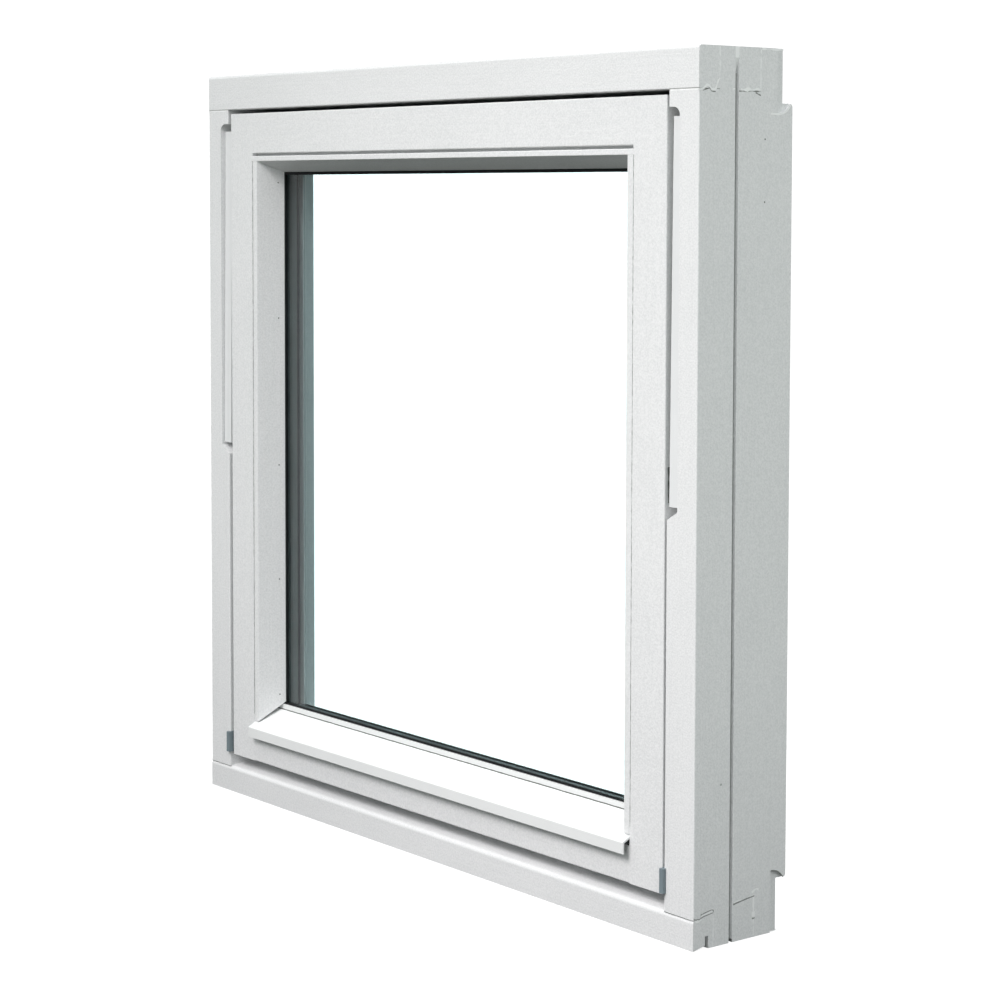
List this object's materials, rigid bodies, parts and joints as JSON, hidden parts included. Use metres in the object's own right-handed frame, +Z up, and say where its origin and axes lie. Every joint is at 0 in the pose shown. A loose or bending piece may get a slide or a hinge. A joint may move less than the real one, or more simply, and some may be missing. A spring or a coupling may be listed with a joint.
{
  "type": "top swing window",
  "caption": "Square white timber window with an outward-opening top swing sash, double glazing, drip profile, comb-jointed frame corners and arms in side pockets.",
  "frame": {"origin": "on the sill's underside, at the middle of the frame's width and depth", "axes": "+Z up, +X to the right seen from outside, +Y into the building"},
  "size_m": [0.89, 0.135, 0.89],
  "materials": {
    "frame_timber": "opaque white satin paint",
    "sash_timber": "opaque white satin paint",
    "seal": "matt black weather seal",
    "drip_aluminium": "white powder coat",
    "glass": "clear float glass",
    "spacer": "dark grey spacer with sealant",
    "gasket": "matt black gasket",
    "tape": "matt grey foam tape",
    "hinge_arm": "white coated arm",
    "hinge_pin": "bright zinc",
    "guide": "blue-grey plastic",
    "handle": "white coated lever"
  },
  "bodies": {
    "root": {"frame_head": "frame_timber", "frame_sill": "frame_timber", "frame_left_jamb": "frame_timber", "frame_right_jamb": "frame_timber", "frame_seal_top": "seal", "frame_seal_bottom": "seal", "frame_seal_left": "seal", "frame_seal_right": "seal", "sash_top_rail": "sash_timber", "sash_bottom_rail": "sash_timber", "sash_left_stile": "sash_timber", "sash_right_stile": "sash_timber", "glazing_bead_top": "sash_timber", "glazing_bead_left": "sash_timber", "glazing_bead_right": "sash_timber", "drip_profile": "drip_aluminium", "outer_pane": "glass", "inner_pane": "glass", "spacer_top": "spacer", "spacer_bottom": "spacer", "spacer_left": "spacer", "spacer_right": "spacer", "outer_gasket_top": "gasket", "outer_gasket_bottom": "gasket", "outer_gasket_left": "gasket", "outer_gasket_right": "gasket", "glazing_tape_top": "tape", "glazing_tape_bottom": "tape", "glazing_tape_left": "tape", "glazing_tape_right": "tape", "hinge_arm_left": "hinge_arm", "hinge_arm_right": "hinge_arm", "hinge_pins_left": "hinge_pin", "hinge_pins_right": "hinge_pin", "guide_block_left": "guide", "guide_block_right": "guide", "handle_plate": "handle", "handle_lever": "handle"}
  },
  "joints": []
}
